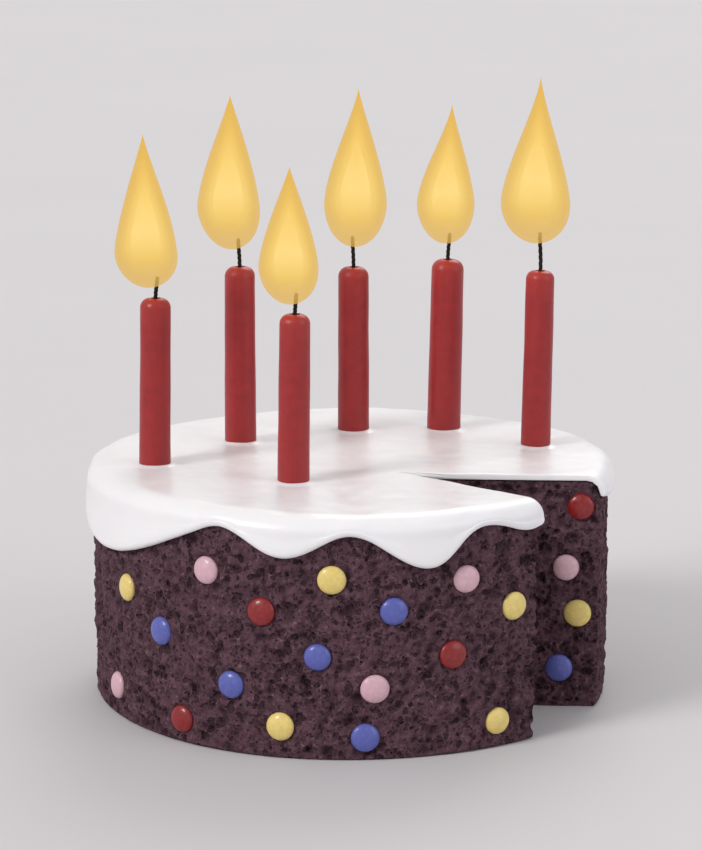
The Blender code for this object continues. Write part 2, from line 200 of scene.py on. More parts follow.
# Each candle: x, y, diameter, height above the icing, lean towards +X in degrees
CANDLES = (
    (-0.0758, -0.0150, 0.0116, 0.0652, 0.95),
    (-0.0441, 0.0270, 0.0120, 0.0708, 0.10),
    (-0.0217, -0.0450, 0.0116, 0.0642, 0.70),
    (0.0010, 0.0500, 0.0122, 0.0671, 0.00),
    (0.0378, 0.0525, 0.0130, 0.0698, 1.00),
    (0.0732, 0.0180, 0.0112, 0.0706, 0.90),
)

# The flames
FLAME_ROUNDNESS = 1.45
FLAME_SIDES = 40
# Each candle's flame: height of its foot above the candle, length, width, x of its belly and of its tip,
# height of its belly as a share of its length, and how quickly it narrows above that
FLAMES = (
    (0.0041, 0.0588, 0.0240, -0.0039, -0.0051, 0.22, 1.20),
    (0.0070, 0.0607, 0.0246, -0.0043, -0.0034, 0.27, 1.15),
    (0.0037, 0.0515, 0.0224, -0.0026, -0.0025, 0.27, 1.15),
    (0.0082, 0.0636, 0.0252, 0.0008, 0.0020, 0.28, 1.25),
    (0.0065, 0.0562, 0.0232, -0.0014, 0.0003, 0.29, 1.35),
    (0.0109, 0.0655, 0.0272, -0.0028, -0.0019, 0.24, 1.42),
)

# How far each wick's tip bends towards +X
WICK_BENDS = (0.0006, -0.0005, 0.0004, -0.0004, 0.0005, -0.0006)
# The layers of a flame: share of its width, and the shares of its height where the layer starts and ends
FLAME_LAYERS = {
    "skin": (1.0, 0.0, 1.0),
    "veil": (0.90, 0.030, 0.955),
    "haze": (0.79, 0.065, 0.89),
    "glow": (0.66, 0.105, 0.82),
    "heart": (0.50, 0.150, 0.73),
}

# The camera and the light
CAMERA_PLACE = (0.0, -1.2, 0.355)
CAMERA_AIM = (0.0, 0.0, 0.1045)
CAMERA_LENS = 133.0
FLOOR_RADIUS = 6.0
FLOOR_DROP = 0.0002
# Each soft light: the way that it comes from, how wide it looks in degrees, its strength and its colour
LIGHTS = {
    "key": ((-1.15, -0.85, 1.00), 18.0, 1.45, (1.0, 0.98, 0.97)),
    "fill": ((1.3, -0.7, 0.65), 40.0, 0.52, (0.97, 0.98, 1.0)),
    "back": ((0.3, 1.2, 1.0), 36.0, 0.85, (1.0, 1.0, 1.0)),
}
WORLD_STRENGTH = 0.58
WORLD_COLOUR = (0.97, 0.965, 0.99, 1.0)

# Colours, linear
SWEET_COLOURS = {
    "yellow": (0.76, 0.59, 0.185),
    "pink": (0.64, 0.40, 0.46),
    "red": (0.235, 0.009, 0.010),
    "blue": (0.094, 0.112, 0.40),
}
# The near-black brown of painted shade in the crumb's pits and pores
SPONGE_PORE_SHADE = (0.014, 0.007, 0.009)
SPONGE_DEEP = (0.064, 0.031, 0.041)
SPONGE_MID = (0.136, 0.068, 0.089)
# The pale brown of painted highlights on the crumb
SPONGE_CRUMB_HIGHLIGHT = (0.27, 0.160, 0.185)
ICING_WHITE = (0.875, 0.865, 0.88)
ICING_PALE = (0.90, 0.89, 0.90)
WAX_RED = (0.30, 0.016, 0.018)
# The paler, warmer red of painted flame light near a candle's top
WAX_FLAME_GLOW = (0.50, 0.050, 0.030)
FLOOR_COLOUR = (0.635, 0.615, 0.622)
# Each layer of a flame: colour and opacity from its foot to its tip, and brightness
FLAME_LOOKS = {
    "skin": (
        ((0.0, (0.76, 0.47, 0.11)), (0.3, (0.78, 0.50, 0.12)), (1.0, (0.80, 0.48, 0.09))),
        ((0.0, 0.62), (0.15, 0.64), (0.8, 0.68), (1.0, 0.85)),
        1.0,
    ),
    "veil": (
        ((0.0, (0.78, 0.50, 0.12)), (0.4, (0.84, 0.58, 0.17)), (1.0, (0.83, 0.53, 0.12))),
        ((0.0, 0.04), (0.22, 0.36), (1.0, 0.40)),
        1.05,
    ),
    "haze": (
        ((0.0, (0.82, 0.55, 0.15)), (0.4, (0.88, 0.65, 0.22)), (1.0, (0.86, 0.58, 0.16))),
        ((0.0, 0.02), (0.28, 0.34), (1.0, 0.30)),
        1.4,
    ),
    "glow": (
        ((0.0, (0.86, 0.60, 0.18)), (0.4, (0.94, 0.74, 0.30)), (1.0, (0.90, 0.64, 0.20))),
        ((0.0, 0.02), (0.32, 0.34), (0.8, 0.30), (1.0, 0.10)),
        2.0,
    ),
    "heart": (
        ((0.0, (0.92, 0.68, 0.24)), (0.4, (1.0, 0.88, 0.50)), (1.0, (0.94, 0.72, 0.26))),
        ((0.0, 0.02), (0.36, 0.40), (0.7, 0.34), (1.0, 0.08)),
        2.7,
    ),
}


def smoothstep(low, high, value):
    share = min(1.0, max(0.0, (value - low) / (high - low)))
    return share * share * (3 - 2 * share)


def polar(radius, azimuth, z):
    angle = math.radians(azimuth)
    return Vector((radius * math.cos(angle), radius * math.sin(angle), z))


def arc_azimuths(steps):
    """Azimuths from the far cut face round the back to the near one."""
    sweep = 360 + CUT_NEAR - CUT_FAR
    return [CUT_FAR + sweep * i / steps for i in range(steps + 1)]


def waves_round(waves, angle):
    """The sum of waves round the cake at this angle, in radians."""
    return sum(height * math.sin(number * angle + start) for height, number, start in waves)


def side_radius(azimuth, z):
    """The sponge's slightly uneven side."""
    belly = SIDE_BELLY * math.sin(math.pi * z / SPONGE_HEIGHT)
    return SPONGE_RADIUS + waves_round(SIDE_WAVES, math.radians(azimuth)) + belly


def cut_ray(azimuth):
    """The direction from the slice's tip to the cake's side at this azimuth."""
    return (polar(SPONGE_RADIUS, azimuth, 0) - CUT_TIP).normalized()


def from_tip(azimuth, distance, z):
    """The point at this distance from the slice's tip, on the way to the cake's side at this azimuth."""
    return CUT_TIP + cut_ray(azimuth) * distance + Vector((0, 0, z))


def tip_distance(azimuth, radius):
    """How far from the slice's tip that way is this far from the cake's axis."""
    along = CUT_TIP.dot(cut_ray(azimuth))
    return math.sqrt(along**2 - CUT_TIP.length_squared + radius**2) - along


def into_gap(azimuth):
    """The direction that the cut face ending at this azimuth looks in, square to it."""
    side = -1 if azimuth == CUT_FAR else 1
    ray = cut_ray(azimuth)
    return Vector((-ray.y, ray.x, 0)) * side


def cut_roughness(point):
    """How far the crumb stands out of a cut face at this point."""
    return CUT_ROUGHNESS * noise.noise(point * CUT_LUMPS)


def edge_inset(z):
    """How far the rounded edges at the sponge's base and top draw its side in at this height."""
    base = 1 - min(z / BASE_ROUNDING, 1)
    top = 1 - min((SPONGE_HEIGHT - z) / TOP_ROUNDING, 1)
    return BASE_ROUNDING * (1 - math.sqrt(1 - base**2)) + TOP_ROUNDING * (1 - math.sqrt(1 - top**2))


def rim_heights(turns):
    """Heights on the sponge's rounded top edge, each where the edge has turned inwards by so many degrees."""
    return [SPONGE_HEIGHT - TOP_ROUNDING * (1 - math.sin(math.radians(turn))) for turn in turns]


def side_distance(azimuth, z):
    """How far the sponge's side is from the slice's tip."""
    return tip_distance(azimuth, side_radius(azimuth, z) - edge_inset(z))


def lofted(rings):
    """A closed shape through rings with equally many points, with a face over the first and the last."""
    shape = bmesh.new()
    rows = [[shape.verts.new(point) for point in ring] for ring in rings]
    count = len(rows[0])
    for lower, upper in zip(rows, rows[1:]):
        for i in range(count):
            j = (i + 1) % count
            shape.faces.new((lower[i], lower[j], upper[j], upper[i]))
    shape.faces.new(list(reversed(rows[0])))
    shape.faces.new(rows[-1])
    return shape


def finish_shape(shape):
    """Merges points that lie together and makes every face look outwards."""
    bmesh.ops.remove_doubles(shape, verts=shape.verts, dist=0.000005)
    bmesh.ops.recalc_face_normals(shape, faces=shape.faces)
    shape.normal_update()


def add_piece(name, shape, material, node):
    """Makes a smooth-shaded piece of the cake from a shape. It stands for one or more nodes of the frame."""
    mesh = bpy.data.meshes.new(name)
    shape.to_mesh(mesh)
    shape.free()
    mesh.shade_smooth()
    mesh.materials.append(material)
    piece = bpy.data.objects.new(name, mesh)
    bpy.context.scene.collection.objects.link(piece)
    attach(piece, "root")
    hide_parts(*([node] if isinstance(node, str) else node))
    return piece


def new_material(name):
    material = bpy.data.materials.new(name)
    material.use_nodes = True
    return material, material.node_tree, material.node_tree.nodes["Principled BSDF"]


def add_node(tree, kind, **values):
    """A shader node of this kind. Names with a capital are its sockets, the others its settings."""
    added = tree.nodes.new("ShaderNode" + kind)
    for name, value in values.items():
        if name[0].isupper():
            added.inputs[name.replace("_", " ")].default_value = value
        else:
            setattr(added, name, value)
    return added


def object_noise(tree, scale, detail=4.0, roughness=0.55):
    """Noise that is fixed to the object, with scale in cells a metre. It runs from 0 to 1."""
    place = add_node(tree, "TexCoord")
    texture = add_node(tree, "TexNoise", Scale=scale, Detail=detail, Roughness=roughness)
    tree.links.new(place.outputs["Object"], texture.inputs["Vector"])
    return texture.outputs["Fac"]


def height_share(tree):
    """How high a point is in its piece, from 0 to 1."""
    along = add_node(tree, "SeparateXYZ")
    tree.links.new(add_node(tree, "TexCoord").outputs["Generated"], along.inputs["Vector"])
    return along.outputs["Z"]


def remap(tree, value, low, high, new_low=0.0, new_high=1.0):
    """The value, carried from one range to another and held within it."""
    mapped = add_node(tree, "MapRange", From_Min=low, From_Max=high, To_Min=new_low, To_Max=new_high)
    tree.links.new(value, mapped.inputs["Value"])
    return mapped.outputs["Result"]


def mix_colours(tree, share, first, second):
    """A mix of two colours, each given as numbers or as an output."""
    mix = add_node(tree, "Mix", data_type="RGBA")
    tree.links.new(share, mix.inputs["Factor"])
    for socket, colour in ((mix.inputs[6], first), (mix.inputs[7], second)):
        if isinstance(colour, tuple):
            socket.default_value = (*colour, 1.0)
        else:
            tree.links.new(colour, socket)
    return mix.outputs[2]


def add_bump(tree, shader, *layers):
    """Small relief from one or more layers, each a height from 0 to 1 and its depth in metres."""
    normal = None
    for height, depth in layers:
        bump = add_node(tree, "Bump", Strength=1.0, Distance=depth)
        tree.links.new(height, bump.inputs["Height"])
        if normal:
            tree.links.new(normal, bump.inputs["Normal"])
        normal = bump.outputs["Normal"]
    tree.links.new(normal, shader.inputs["Normal"])


def object_pits(tree, scale):
    """Small pits of uneven shape and size, fixed to the object: 0 in a pit and 1 outside."""
    place = add_node(tree, "TexCoord")
    waves = add_node(tree, "TexNoise", Scale=scale * 0.9, Detail=2.0)
    bent = add_node(tree, "VectorMath", operation="MULTIPLY_ADD")
    cells = add_node(tree, "TexVoronoi", Scale=scale)
    sized = add_node(tree, "Math", operation="ADD")
    tree.links.new(place.outputs["Object"], waves.inputs["Vector"])
    tree.links.new(waves.outputs["Color"], bent.inputs[0])
    bent.inputs[1].default_value = (1.1 / scale,) * 3
    tree.links.new(place.outputs["Object"], bent.inputs[2])
    tree.links.new(bent.outputs["Vector"], cells.inputs["Vector"])
    tree.links.new(cells.outputs["Distance"], sized.inputs[0])
    tree.links.new(object_noise(tree, scale * 0.4, 1), sized.inputs[1])
    return remap(tree, sized.outputs["Value"], 0.64, 0.80)


def sponge_material():
    """Dark chocolate crumb: dull, with painted shade in its pits and pores and painted highlights on
    scattered specks.
    """
    material, tree, shader = new_material("sponge crumb")
    patches = remap(tree, object_noise(tree, 60, 3), 0.3, 0.7)
    crumbs = remap(tree, object_noise(tree, 420, 4, 0.6), 0.30, 0.70)
    # Pale specks scattered at random: painted highlights that stand in for lit crumb crests
    crumb_highlights = remap(tree, object_noise(tree, 700, 2), 0.60, 0.74)
    wide_pits, pits, fine_pits = object_pits(tree, 250), object_pits(tree, 480), object_pits(tree, 950)
    # The pore attribute from make_sponge: painted shade where the crumb's relief sinks deep and in the hollow
    # round each sweet
    pores = add_node(tree, "Attribute", attribute_name="pore").outputs["Fac"]
    body = mix_colours(tree, crumbs, SPONGE_DEEP, SPONGE_MID)
    # Each mark with its colour, and how strongly it shows where the mark's value is 0 and where it is 1. The
    # pits and pores are painted shade, the specks painted highlights
    marks = (
        (patches, SPONGE_MID, 0.0, 0.35),
        (crumb_highlights, SPONGE_CRUMB_HIGHLIGHT, 0.0, 0.6),
        (fine_pits, SPONGE_PORE_SHADE, 0.3, 0.0),
        (pits, SPONGE_PORE_SHADE, 0.5, 0.0),
        (wide_pits, SPONGE_PORE_SHADE, 0.6, 0.0),
        (pores, SPONGE_PORE_SHADE, 0.0, 0.6),
    )
    for mark, colour, low, high in marks:
        body = mix_colours(tree, remap(tree, mark, 0, 1, low, high), body, colour)
    tree.links.new(body, shader.inputs["Base Color"])
    tree.links.new(remap(tree, crumbs, 0, 1, 1.0, 0.85), shader.inputs["Roughness"])
    shader.inputs["Specular IOR Level"].default_value = 0.15
    grain = object_noise(tree, 800, 4, 0.6)
    add_bump(tree, shader, (wide_pits, 0.0012), (pits, 0.0008), (fine_pits, 0.0003), (grain, 0.0006))
    return material


def icing_material():
    """Poured sugar icing: white, a little translucent, softly glossy and never quite even."""
    material, tree, shader = new_material("poured icing")
    clouds = remap(tree, object_noise(tree, 38, 3), 0.3, 0.7)
    tree.links.new(mix_colours(tree, clouds, ICING_WHITE, ICING_PALE), shader.inputs["Base Color"])
    tree.links.new(remap(tree, object_noise(tree, 120, 4), 0.3, 0.7, 0.28, 0.42), shader.inputs["Roughness"])
    shader.inputs["Subsurface Weight"].default_value = 0.35
    shader.inputs["Subsurface Radius"].default_value = (1.0, 0.85, 0.7)
    shader.inputs["Subsurface Scale"].default_value = 0.0022
    shader.inputs["Coat Weight"].default_value = 0.2
    shader.inputs["Coat Roughness"].default_value = 0.18
    add_bump(tree, shader, (object_noise(tree, 160, 2, 0.5), 0.00018), (object_noise(tree, 900, 3), 0.00003))
    return material


def sweet_material(name):
    """A hard sugar shell in one colour, faintly mottled and polished."""
    material, tree, shader = new_material(f"{name} sugar shell")
    base = SWEET_COLOURS[name]
    pale = tuple(min(1.0, part * 1.10 + 0.012) for part in base)
    mottle = remap(tree, object_noise(tree, 650, 4, 0.6), 0.42, 0.66)
    tree.links.new(mix_colours(tree, mottle, base, pale), shader.inputs["Base Color"])
    tree.links.new(remap(tree, mottle, 0, 1, 0.36, 0.48), shader.inputs["Roughness"])
    shader.inputs["Specular IOR Level"].default_value = 0.35
    shader.inputs["Coat Weight"].default_value = 0.4
    shader.inputs["Coat Roughness"].default_value = 0.12
    shader.inputs["Subsurface Weight"].default_value = 0.1
    shader.inputs["Subsurface Scale"].default_value = 0.001
    add_bump(tree, shader, (object_noise(tree, 1400, 3), 0.00006))
    return material


def wax_material():
    """Dyed red wax, which lets a little light through, with a painted glow of flame light near its top."""
    material, tree, shader = new_material("red candle wax")
    # Near its top the wax is painted paler and warmer, as if lit through by its flame: painted light
    painted_flame_glow = remap(tree, height_share(tree), 0.86, 1.0)
    streaks = remap(tree, object_noise(tree, 240, 4, 0.6), 0.35, 0.65)
    body = mix_colours(tree, streaks, WAX_RED, tuple(part * 1.2 for part in WAX_RED))
    colour = mix_colours(tree, remap(tree, painted_flame_glow, 0, 1, 0.0, 0.35), body, WAX_FLAME_GLOW)
    tree.links.new(colour, shader.inputs["Base Color"])
    tree.links.new(remap(tree, streaks, 0, 1, 0.36, 0.48), shader.inputs["Roughness"])
    shader.inputs["Specular IOR Level"].default_value = 0.4
    shader.inputs["Subsurface Weight"].default_value = 0.35
    shader.inputs["Subsurface Radius"].default_value = (1.0, 0.18, 0.12)
    shader.inputs["Subsurface Scale"].default_value = 0.002
    shader.inputs["Coat Weight"].default_value = 0.1
    shader.inputs["Coat Roughness"].default_value = 0.3
    add_bump(tree, shader, (object_noise(tree, 420, 4), 0.00014))
    return material


def wick_material():
    """Charred cotton."""
    material, tree, shader = new_material("charred wick")
    fibres = remap(tree, object_noise(tree, 2600, 3), 0.35, 0.65)
    charred = mix_colours(tree, fibres, (0.008, 0.006, 0.005), (0.035, 0.028, 0.023))
    tree.links.new(charred, shader.inputs["Base Color"])
    shader.inputs["Roughness"].default_value = 0.9
    shader.inputs["Specular IOR Level"].default_value = 0.2
    add_bump(tree, shader, (fibres, 0.0001))
    return material


def colour_ramp(tree, value, stops):
    """Colours that change with a value. Each stop is a place from 0 to 1 and its colour."""
    ramp = add_node(tree, "ValToRGB")
    steps = ramp.color_ramp.elements
    while len(steps) < len(stops):
        steps.new(0.5)
    for step, (place, colour) in zip(steps, stops):
        step.position = place
        step.color = (*colour, 1.0)
    tree.links.new(value, ramp.inputs["Fac"])
    return ramp.outputs["Color"]


def flame_material(name, stops, alphas, strength):
    """Glowing gas: its colour and thickness change from foot to tip."""
    material, tree, shader = new_material(name)
    height = height_share(tree)
    tree.links.new(colour_ramp(tree, height, stops), shader.inputs["Emission Color"])
    shader.inputs["Base Color"].default_value = (0.0, 0.0, 0.0, 1.0)
    shader.inputs["Emission Strength"].default_value = strength
    shader.inputs["Roughness"].default_value = 0.9
    shader.inputs["Specular IOR Level"].default_value = 0.0
    thickness = colour_ramp(tree, height, [(place, (alpha,) * 3) for place, alpha in alphas])
    tree.links.new(thickness, shader.inputs["Alpha"])
    return material


def flame_materials():
    """One for each layer of a flame, from its golden skin to its bright heart."""
    return [flame_material(f"flame {name}", *FLAME_LOOKS[name]) for name in FLAME_LAYERS]


def far_enough(spot, others):
    """Whether a sweet at this spot keeps clear of the others."""
    return all((spot - other).length > SWEET_SPACING for other in others)


def side_sweets():
    """(colour, centre, outward direction) of the sweets on the side: the front's, repeated round the back."""
    placed = []
    draw = random.Random(7)
    for lap in range(4):
        for index, colour in enumerate(COLOURS):
            for azimuth, z in FRONT_SWEETS[colour]:
                if lap:
                    mirrored = -1 if lap % 2 else 1
                    azimuth = FRONT_MIDDLE + mirrored * (azimuth - FRONT_MIDDLE) - SWEET_LAP * lap
                    azimuth += draw.uniform(-SWEET_TURN_SHIFT, SWEET_TURN_SHIFT)
                    z = z + draw.uniform(-SWEET_HEIGHT_SHIFT, SWEET_HEIGHT_SHIFT)
                    colour = COLOURS[(index + lap) % len(COLOURS)]
                azimuth = (azimuth - CUT_FAR) % 360 + CUT_FAR
                behind = BACK_SWEETS_START < azimuth < BACK_SWEETS_END
                highest = CAKE_TOP - icing_drop(azimuth) - SWEET_RADIUS - CLEAR_OF_ICING
                z = min(max(z, LOWEST_SWEET), highest)
                spot = polar(side_radius(azimuth, z), azimuth, z)
                if lap == 0 or behind and far_enough(spot, [p[1] for p in placed]):
                    placed.append((colour, spot, polar(1, azimuth, 0)))
    return placed


def cut_face_sweets(azimuth, colour_shift, flipped):
    """The same for one cut face. The second face has the first one's places upside down."""
    placed = []
    length = tip_distance(azimuth, SPONGE_RADIUS)
    for index, colour in enumerate(COLOURS):
        for share, z in CUT_SWEETS[colour]:
            height = SPONGE_HEIGHT - z if flipped else z
            highest = SPONGE_HEIGHT - SWEET_RADIUS - CLEAR_OF_ICING
            spot = from_tip(azimuth, share * length, min(height, highest))
            placed.append((COLOURS[(index + colour_shift) % len(COLOURS)], spot, into_gap(azimuth)))
    return placed


def all_sweets():
    return side_sweets() + cut_face_sweets(CUT_FAR, 0, False) + cut_face_sweets(CUT_NEAR, 1, True)


def make_sweets(sweets):
    """One piece for each colour: lentil-shaped sweets that sit in the sponge, each at its own slight tilt."""
    draw = random.Random(11)
    for colour in COLOURS:
        shape = bmesh.new()
        for _, centre, outward in (sweet for sweet in sweets if sweet[0] == colour):
            tilt = Vector([draw.uniform(-SWEET_TILT, SWEET_TILT) for _ in range(3)])
            turn = (outward + tilt).to_track_quat("Z", "Y").to_matrix().to_4x4()
            wide, deep = draw.uniform(*SWEET_WIDTHS), draw.uniform(*SWEET_DEPTHS)
            flatten = Matrix.Diagonal((wide, wide, deep * SWEET_THICKNESS / 2 / SWEET_RADIUS, 1))
            place = Matrix.Translation(centre - outward * SWEET_SINK)
            bmesh.ops.create_uvsphere(
                shape, u_segments=32, v_segments=18, radius=SWEET_RADIUS, matrix=place @ turn @ flatten)
        add_piece(f"{colour}_sweets", shape, sweet_material(colour), "sponge")


def pore(point, cell, share):
    """0 between pores and up to 1 at the bottom of one. Each pore has its own size, and some are missing."""
    distances, centres = noise.voronoi(point / cell)
    size = share * (0.25 + 0.75 * abs(noise.cell(centres[0] * 7.3)))
    return max(0.0, 1 - (distances[0] / size) ** 2)


def crumb_relief(point, openness):
    """How far the crumb lies below (+) the sponge's smooth surface. Openness is 0 on the side, 1 on a cut."""
    bent = point + CRUMB_BEND * noise.noise_vector(point * 320)
    pores = [depth * pore(bent + Vector(shift), cell, share) for cell, share, depth, shift in CRUMB_PORES]
    waves = sum(height * noise.noise(point * scale) for scale, height in CRUMB_WAVES)
    return max(pores) * (0.75 + 0.25 * openness) - waves


def sponge_ring(z):
    """The sponge's outline at one height, and how open the crumb is at each of its points."""
    cuts = []
    for azimuth in (CUT_FAR, CUT_NEAR):
        length = side_distance(azimuth, z)
        steps = round(tip_distance(azimuth, SPONGE_RADIUS) / CRUMB_STEP)
        points = [from_tip(azimuth, length * step / steps, z) for step in range(1, steps)]
        cuts.append([point + into_gap(azimuth) * cut_roughness(point) for point in points])
    arc_steps = round(math.radians(360 + CUT_NEAR - CUT_FAR) * SPONGE_RADIUS / CRUMB_STEP)
    arc = [from_tip(a, side_distance(a, z), z) for a in arc_azimuths(arc_steps)]
    ring = [CUT_TIP + Vector((0, 0, z))] + cuts[0] + arc + cuts[1][::-1]
    openness = [1.0] * (len(cuts[0]) + 2) + [0.0] * (len(arc) - 2) + [1.0] * (len(cuts[1]) + 1)
    return ring, openness


def ring_heights():
    """The heights of the sponge's rings, closer together where its edges are rounded."""
    rounding = [BASE_ROUNDING * (1 - math.cos(math.radians(turn))) for turn in (0, 30, 55, 75)]
    straight = SPONGE_HEIGHT - TOP_ROUNDING - BASE_ROUNDING
    steps = round(straight / CRUMB_STEP)
    rises = [BASE_ROUNDING + straight * i / steps for i in range(steps)]
    return rounding + rises + rim_heights(range(0, 91, 10))


def make_sponge(sweets):
    """The sponge with its crumb as real relief, and a snug hollow round each sweet."""
    rows = [sponge_ring(z) for z in ring_heights()]
    shape = lofted([ring for ring, _ in rows])
    openness = [share for _, shares in rows for share in shares]
    spots = kdtree.KDTree(len(sweets))
    for index, (_, centre, _) in enumerate(sweets):
        spots.insert(centre, index)
    spots.balance()
    shape.normal_update()
    bmesh.ops.recalc_face_normals(shape, faces=shape.faces)
    shape.normal_update()
    shape.verts.ensure_lookup_table()
    pore_shade_layer = shape.verts.layers.float.new("pore")
    moves = []
    for vertex, share in zip(shape.verts, openness):
        point = vertex.co.copy()
        depth = crumb_relief(point, share)
        distance = spots.find(point)[2]
        bare = smoothstep(SWEET_RADIUS * 0.95, SWEET_RADIUS * 1.3, distance)
        socket = HOLLOW_DEPTH * math.exp(-(((distance - SWEET_RADIUS) / HOLLOW_WIDTH) ** 2))
        under = BELOW_SWEET * (1 - smoothstep(SWEET_RADIUS * 0.8, SWEET_RADIUS, distance))
        hidden = 1 - smoothstep(SPONGE_HEIGHT - RELIEF_FADES, SPONGE_HEIGHT - RELIEF_ENDS, point.z)
        grounded = smoothstep(0.0, RELIEF_BASE, point.z)
        move = (depth * bare * hidden + socket + under) * grounded
        moves.append(-vertex.normal * move)
        # The pore attribute is painted shade: dark where the relief sinks deep and in the hollow round each
        # sweet
        vertex[pore_shade_layer] = smoothstep(-0.0002, 0.0020, depth * bare + 1.2 * socket)
    for vertex, move in zip(shape.verts, moves):
        vertex.co += move
    finish_shape(shape)
    add_piece("sponge_crumb", shape, sponge_material(), "sponge")


def icing_drop(azimuth):
    """How far the icing's edge hangs below the cake's top at this azimuth."""
    extra = 0.0
    for tip, left, right, length, fullness in DRIPS:
        offset = (azimuth - tip + 180) % 360 - 180
        share = abs(offset) / (right if offset > 0 else left)
        if share < 1:
            extra = max(extra, length * math.cos(math.pi / 2 * share) ** (2 * fullness))
    return ICING_CREST_DROP + extra


def soft_drop(azimuth):
    """The same, softened where one drip meets the next."""
    offsets = [ICING_SOFTENING * share for share in (-1.0, -0.5, 0.0, 0.5, 1.0)]
    return sum(icing_drop(azimuth + offset) for offset in offsets) / len(offsets)


def icing_height(point):
    """The gently uneven top of the icing, with a low collar where it closes round each candle."""
    wave = waves_round(ICING_WAVES, math.atan2(point.y, point.x))
    height = CAKE_TOP + wave * math.hypot(point.x, point.y) / SPONGE_RADIUS
    flat = Vector((point.x, point.y, 0))
    height += sum(ripple * noise.noise(flat * scale) for scale, ripple in ICING_RIPPLES)
    for x, y, diameter in (candle[:3] for candle in CANDLES):
        beyond = math.hypot(point.x - x, point.y - y) - diameter / 2
        if beyond < 5 * COLLAR_REACH:
            height += COLLAR_HEIGHT * math.exp(-((max(beyond, 0) / COLLAR_REACH) ** 2))
    return height


def icing_section(azimuth):
    """The icing cut from the slice's tip outwards, as (distance, z): the top, the side, back underneath."""
    drop = soft_drop(azimuth)
    long_drip = smoothstep(ICING_CREST_DROP, ICING_LONG_DROP, drop)
    side = ICING_SIDE + ICING_SIDE_SWELL * long_drip
    end = min(ICING_END, drop * ICING_END_SHARE)
    flat = tip_distance(azimuth, SPONGE_RADIUS - ICING_SHOULDER)
    edge = icing_height(from_tip(azimuth, flat, 0))
    low = edge - drop
    outer = tip_distance(azimuth, side_radius(azimuth, low) + side)
    shoulder = min(ICING_SHOULDER_DEPTH, drop - end - ICING_SKIRT)
    steps = [flat * i / ICING_TOP_RINGS for i in range(ICING_TOP_RINGS + 1)]
    points = [(distance, icing_height(from_tip(azimuth, distance, 0))) for distance in steps]
    for step in range(1, ICING_SHOULDER_RINGS + 1):
        angle = math.radians(90 * step / ICING_SHOULDER_RINGS)
        distance = flat + (outer - flat) * math.sin(angle)
        points.append((distance, edge - shoulder * (1 - math.cos(angle))))
    bulge = ICING_BULGE + ICING_DRIP_BULGE * long_drip
    skirt = drop - end - shoulder
    for step in range(1, ICING_SKIRT_RINGS + 1):
        share = step / ICING_SKIRT_RINGS
        points.append((outer + bulge * smoothstep(0.2, 1.0, share), edge - shoulder - skirt * share))
    inner = side_distance(azimuth, low) + GAP
    reach = outer + bulge - inner
    for turn in range(12, 169, 12):
        angle = math.radians(turn)
        tip_end = end if turn < 90 else 0.6 * end
        points.append((inner + reach * (0.5 + 0.5 * math.cos(angle)), low + tip_end * (1 - math.sin(angle))))
    back = low + 0.4 * end
    for z in (back, *[max(back, rim) for rim in rim_heights((0, 35, 65, 90))]):
        points.append((side_distance(azimuth, z) + GAP, z + GAP))
    points += [(flat * 0.5, SPONGE_HEIGHT + GAP), (0, SPONGE_HEIGHT + GAP)]
    return points


def toward_middle(azimuth, distance, z, low, share):
    """Moves a point of the icing's section towards the middle of the icing's thickness.

    That middle runs level over the sponge, turns round its rounded edge and hangs straight down.
    """
    turn_distance = tip_distance(azimuth, SPONGE_RADIUS - TOP_ROUNDING)
    turn_height = SPONGE_HEIGHT - TOP_ROUNDING
    radius = TOP_ROUNDING + 0.5 * (CAKE_TOP - SPONGE_HEIGHT)
    past = max(0.0, distance - turn_distance)
    above = max(0.0, z - turn_height)
    reach = max(math.hypot(past, above), 0.0001)
    middle_distance = turn_distance + radius * past / reach if past > 0 else distance
    middle_height = turn_height + radius * above / reach if above > 0 else z
    middle_height = max(middle_height, low + ICING_END_MIDDLE)
    blend = share * smoothstep(*DRAWING_IN_GROWS, distance)
    return distance + (middle_distance - distance) * blend, z + (middle_height - z) * blend


def icing_lip(section, azimuth, turn):
    """A ring of the rounded lip where the soft icing bulges a little over its cut edge."""
    around = math.radians(turn)
    low = min(z for _, z in section)
    length = tip_distance(azimuth, SPONGE_RADIUS)
    ring = []
    for distance, z in section:
        corner = smoothstep(length - LIP_CORNER_LENGTH, length, distance) if azimuth == CUT_NEAR else 0.0
        lip = ICING_LIP * smoothstep(*LIP_GROWS, distance) + ICING_CORNER_LIP * corner
        shrink = (LIP_DRAWN_IN + LIP_CORNER_DRAWN_IN * corner) * (1 - math.cos(around))
        moved, height = toward_middle(azimuth, distance, z, low, shrink)
        ring.append(from_tip(azimuth, moved, height) + into_gap(azimuth) * lip * math.sin(around))
    return ring


def make_icing():
    """One poured coat: a level top, a soft shoulder and drips with thick round ends."""
    azimuths = arc_azimuths(ICING_STATIONS)
    first, last = icing_section(azimuths[0]), icing_section(azimuths[-1])
    turns = range(10, 91, 10)
    rings = [icing_lip(first, CUT_FAR, turn) for turn in reversed(turns)]
    rings += [[from_tip(a, distance, z) for distance, z in icing_section(a)] for a in azimuths]
    rings += [icing_lip(last, CUT_NEAR, turn) for turn in turns]
    shape = lofted(rings)
    finish_shape(shape)
    add_piece("poured_icing", shape, icing_material(), "icing")


def candle_frame(candle):
    """Places a candle: its own origin is on its axis, level with the icing."""
    x, y, lean = candle[0], candle[1], candle[4]
    return Matrix.Translation((x, y, CAKE_TOP)) @ Matrix.Rotation(math.radians(lean), 4, "Y")


def turned(profile, sides, shift=None):
    """A shape turned from a profile of (radius, z). Shift moves each point, such as for a bend."""
    rings = []
    for radius, z in profile:
        ring = []
        for i in range(sides):
            point = polar(radius, 360 * i / sides, z)
            ring.append(shift(point) if shift else point)
        rings.append(ring)
    shape = lofted(rings)
    finish_shape(shape)
    return shape


